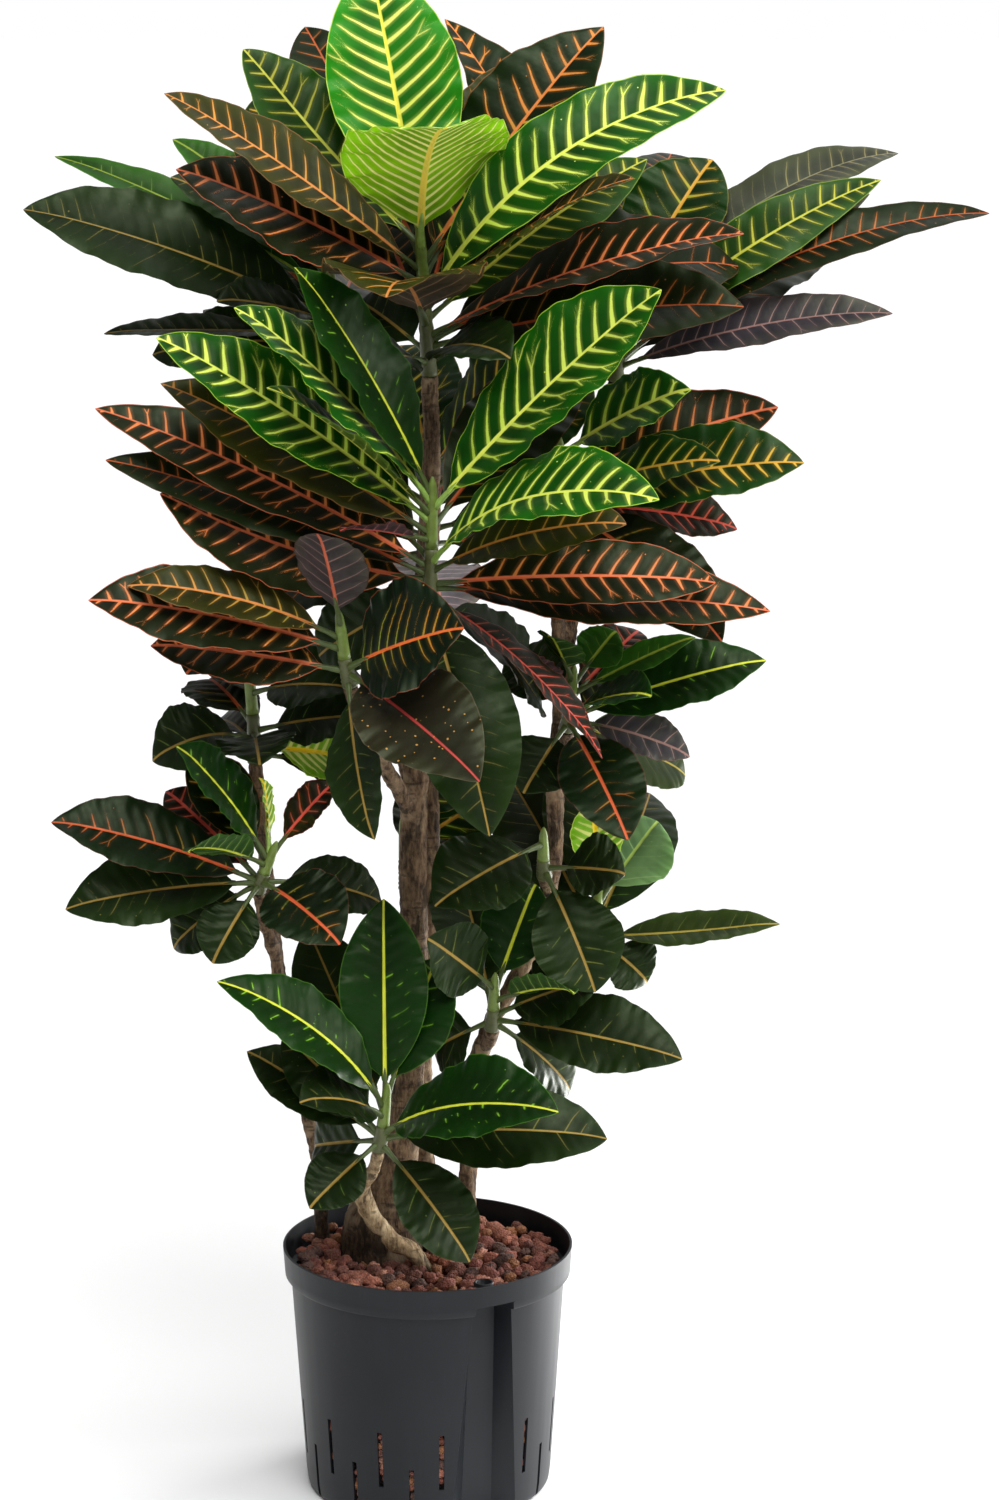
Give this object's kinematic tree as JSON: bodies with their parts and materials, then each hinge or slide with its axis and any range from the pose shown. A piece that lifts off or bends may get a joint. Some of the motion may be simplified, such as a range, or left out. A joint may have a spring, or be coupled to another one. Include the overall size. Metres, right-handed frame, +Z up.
{
  "type": "potted croton",
  "caption": "Many-stemmed croton house plant with broad striped leaves, standing in a slotted dark hydroculture pot filled with clay granules.",
  "frame": {"origin": "the middle of the pot's foot, on the plane that the pot stands on", "axes": "+Z up along the pot's axis, -Y towards the front of the plant, +X to the plant's right as seen from the front"},
  "size_m": [0.7114, 0.5164, 1.1423],
  "materials": {
    "pot_plastic": "charcoal moulded plastic with a soft satin sheen and faint scuffs",
    "clay_granules": "matt fired clay, red-brown with grey-brown grains",
    "bark": "matt grey-brown bark with pale leaf scars and fine cracks",
    "old_leaves": "glossy, leathery near-black green with orange, red and yellow veins, dull mauve-grey below",
    "young_leaves": "glossy bright and mid green with broad yellow veins, pale green below"
  },
  "bodies": {
    "root": {"pot": "pot_plastic", "granules": "clay_granules", "trunk_main": "bark", "trunk_left": "bark", "trunk_right": "bark", "trunk_back": "bark", "branch_front": "bark", "top_lower": "old_leaves", "top_upper": "young_leaves", "top_left_lower": "old_leaves", "top_left_upper": "young_leaves", "top_right_lower": "old_leaves", "top_right_upper": "young_leaves", "mid_right_lower": "old_leaves", "mid_right_upper": "young_leaves", "middle_lower": "old_leaves", "middle_upper": "young_leaves", "back_lower": "old_leaves", "back_upper": "young_leaves", "mid_left_lower": "old_leaves", "mid_left_upper": "young_leaves", "left_mid_lower": "old_leaves", "left_mid_upper": "young_leaves", "left_low_lower": "old_leaves", "left_low_upper": "young_leaves", "front_low_lower": "old_leaves", "front_low_upper": "young_leaves", "inner_low_lower": "old_leaves", "inner_low_upper": "young_leaves", "right_inner_lower": "old_leaves", "right_inner_upper": "young_leaves", "right_back_lower": "old_leaves", "right_back_upper": "young_leaves", "right_mid_lower": "old_leaves", "right_mid_upper": "young_leaves", "back_low_lower": "old_leaves", "back_low_upper": "young_leaves"}
  },
  "joints": []
}
